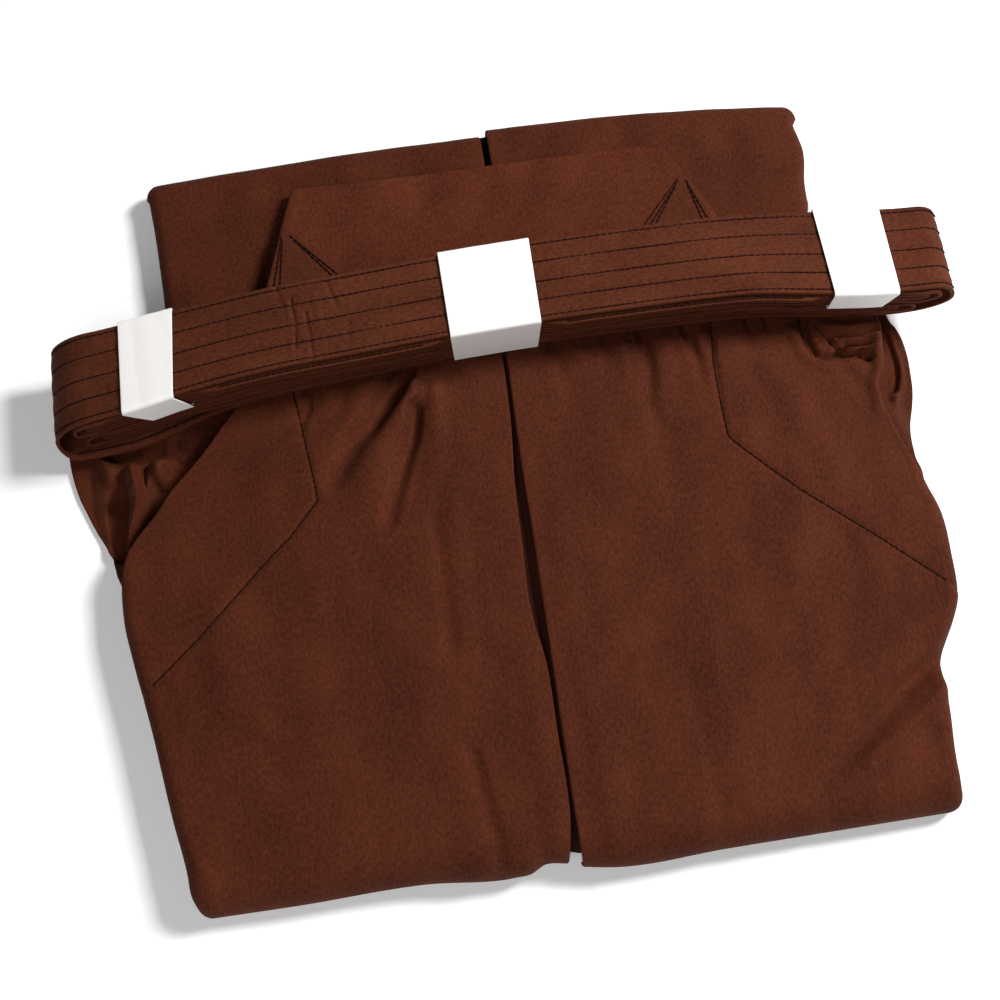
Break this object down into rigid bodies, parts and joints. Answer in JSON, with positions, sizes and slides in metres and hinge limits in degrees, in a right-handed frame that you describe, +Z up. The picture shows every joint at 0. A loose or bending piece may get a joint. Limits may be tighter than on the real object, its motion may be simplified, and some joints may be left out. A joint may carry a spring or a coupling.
{
  "type": "folded hakama trousers",
  "caption": "Pleated Japanese trousers in russet cloth, folded flat with the back up, the stiff back plate above and the long quilted belt wound on the waist under plain paper bands.",
  "frame": {"origin": "on the surface the garment lies on, under the middle of its bounding box", "axes": "+X across the garment along the wound belt, +Y from the near fold towards the fold at the lower legs, +Z up"},
  "size_m": [0.419, 0.3644, 0.0545],
  "materials": {
    "leg_cloth": "matt, fine twill",
    "folded_cloth": "matt, fine twill",
    "plate_cloth": "matt, taut over a board",
    "strap_cloth": "matt, quilted in rows",
    "band_paper": "smooth, uncoated"
  },
  "bodies": {
    "root": {"folded_layers": "folded_cloth", "lower_leg_left": "leg_cloth", "lower_leg_right": "leg_cloth", "front_panel_left": "leg_cloth", "front_panel_right": "leg_cloth", "back_panel_left": "leg_cloth", "back_panel_right": "leg_cloth", "back_plate": "plate_cloth", "strap_end_left": "strap_cloth", "strap_end_right": "strap_cloth", "belt_top": "strap_cloth", "belt_bottom": "strap_cloth", "belt_turns_lower": "strap_cloth", "belt_turns_upper": "strap_cloth", "paper_band_left": "band_paper", "paper_band_middle": "band_paper", "paper_band_right": "band_paper", "paper_tail": "band_paper"}
  },
  "joints": []
}
